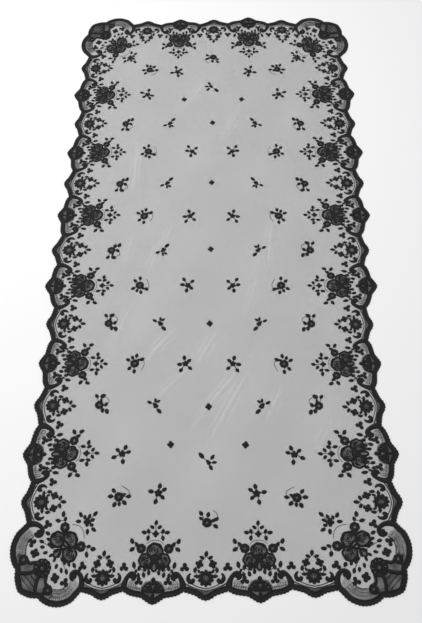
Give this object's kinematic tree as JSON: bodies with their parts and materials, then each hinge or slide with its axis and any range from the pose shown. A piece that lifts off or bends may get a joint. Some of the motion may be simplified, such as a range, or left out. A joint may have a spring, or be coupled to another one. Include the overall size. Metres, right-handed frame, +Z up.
{
  "type": "lace shawl",
  "caption": "Long rectangular black lace shawl lying flat: sheer net with small sprigs, a scalloped worked edging, and raised flowers and leaves round the border.",
  "frame": {"origin": "centre of the shawl's outline on the surface that it lies on", "axes": "+Z up out of the surface, +Y along the shawl's length, +X along its width"},
  "size_m": [0.9722, 2.015, 0.0036],
  "materials": {
    "net": "sheer black tulle, matt, seen through",
    "edging": "dense black satin-stitched cord and braid, slight sheen",
    "flower": "dense black satin-stitched petals and leaves, soft sheen"
  },
  "bodies": {
    "root": {"net_ground": "net", "edging_near": "edging", "edging_right": "edging", "edging_far": "edging", "edging_left": "edging", "edging_near_right": "edging", "edging_far_right": "edging", "edging_far_left": "edging", "edging_near_left": "edging", "bouquet_near_1": "flower", "bouquet_near_2": "flower", "bouquet_right_1": "flower", "bouquet_right_2": "flower", "bouquet_right_3": "flower", "bouquet_right_4": "flower", "bouquet_right_5": "flower", "bouquet_right_6": "flower", "bouquet_far_1": "flower", "bouquet_far_2": "flower", "bouquet_left_1": "flower", "bouquet_left_2": "flower", "bouquet_left_3": "flower", "bouquet_left_4": "flower", "bouquet_left_5": "flower", "bouquet_left_6": "flower", "bouquet_near_right": "flower", "bouquet_far_right": "flower", "bouquet_far_left": "flower", "bouquet_near_left": "flower", "rosette_near_1": "flower", "rosette_near_2": "flower", "rosette_near_3": "flower", "rosette_right_1": "flower", "rosette_right_2": "flower", "rosette_right_3": "flower", "rosette_right_4": "flower", "rosette_right_5": "flower", "rosette_right_6": "flower", "rosette_right_7": "flower", "rosette_far_1": "flower", "rosette_far_2": "flower", "rosette_far_3": "flower", "rosette_left_1": "flower", "rosette_left_2": "flower", "rosette_left_3": "flower", "rosette_left_4": "flower", "rosette_left_5": "flower", "rosette_left_6": "flower", "rosette_left_7": "flower"}
  },
  "joints": []
}
